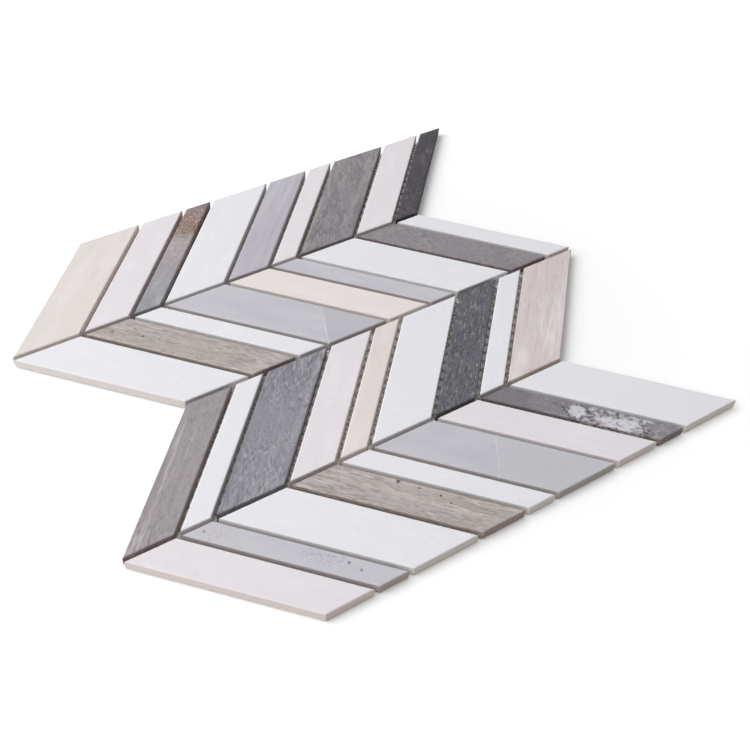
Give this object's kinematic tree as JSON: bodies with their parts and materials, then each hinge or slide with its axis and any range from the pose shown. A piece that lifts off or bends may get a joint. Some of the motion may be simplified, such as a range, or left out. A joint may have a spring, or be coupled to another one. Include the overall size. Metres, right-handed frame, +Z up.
{
  "type": "marble mosaic tile sheet",
  "caption": "Chevron mosaic sheet of slanted marble chips in mixed widths and colours, in zigzag rows on a glass-fibre backing mesh, lying flat.",
  "frame": {"origin": "middle of the sheet, on the underside of the backing mesh", "axes": "+X along the rows of chips, +Y from the front row to the back row, +Z up out of the honed faces"},
  "size_m": [0.3448, 0.3018, 0.0068],
  "materials": {
    "white_marble": "satin",
    "blush_marble": "satin",
    "beige_marble": "satin",
    "cream_marble": "satin",
    "pale_grey_marble": "satin",
    "warm_grey_marble": "satin",
    "wood_vein_marble": "satin",
    "brown_vein_marble": "satin",
    "blue_vein_marble": "satin",
    "rust_vein_marble": "satin",
    "charcoal_marble": "satin",
    "breccia_marble": "satin",
    "glass_fibre_mesh": "matte"
  },
  "bodies": {
    "root": {"back_row_chip_1": "beige_marble", "back_row_chip_2": "white_marble", "back_row_chip_3": "rust_vein_marble", "back_row_chip_4": "white_marble", "back_row_chip_5": "pale_grey_marble", "back_row_chip_6": "white_marble", "back_row_chip_7": "wood_vein_marble", "back_row_chip_8": "blush_marble", "back_row_chip_9": "charcoal_marble", "second_row_chip_1": "white_marble", "second_row_chip_2": "brown_vein_marble", "second_row_chip_3": "white_marble", "second_row_chip_4": "pale_grey_marble", "second_row_chip_5": "cream_marble", "second_row_chip_6": "pale_grey_marble", "second_row_chip_7": "white_marble", "second_row_chip_8": "warm_grey_marble", "second_row_chip_9": "white_marble", "third_row_chip_1": "brown_vein_marble", "third_row_chip_2": "white_marble", "third_row_chip_3": "blue_vein_marble", "third_row_chip_4": "blush_marble", "third_row_chip_5": "cream_marble", "third_row_chip_6": "white_marble", "third_row_chip_7": "charcoal_marble", "third_row_chip_8": "white_marble", "third_row_chip_9": "beige_marble", "front_row_chip_1": "blush_marble", "front_row_chip_2": "pale_grey_marble", "front_row_chip_3": "white_marble", "front_row_chip_4": "brown_vein_marble", "front_row_chip_5": "white_marble", "front_row_chip_6": "pale_grey_marble", "front_row_chip_7": "blush_marble", "front_row_chip_8": "breccia_marble", "front_row_chip_9": "white_marble", "mesh_lengthwise_threads": "glass_fibre_mesh", "mesh_crosswise_threads": "glass_fibre_mesh"}
  },
  "joints": []
}
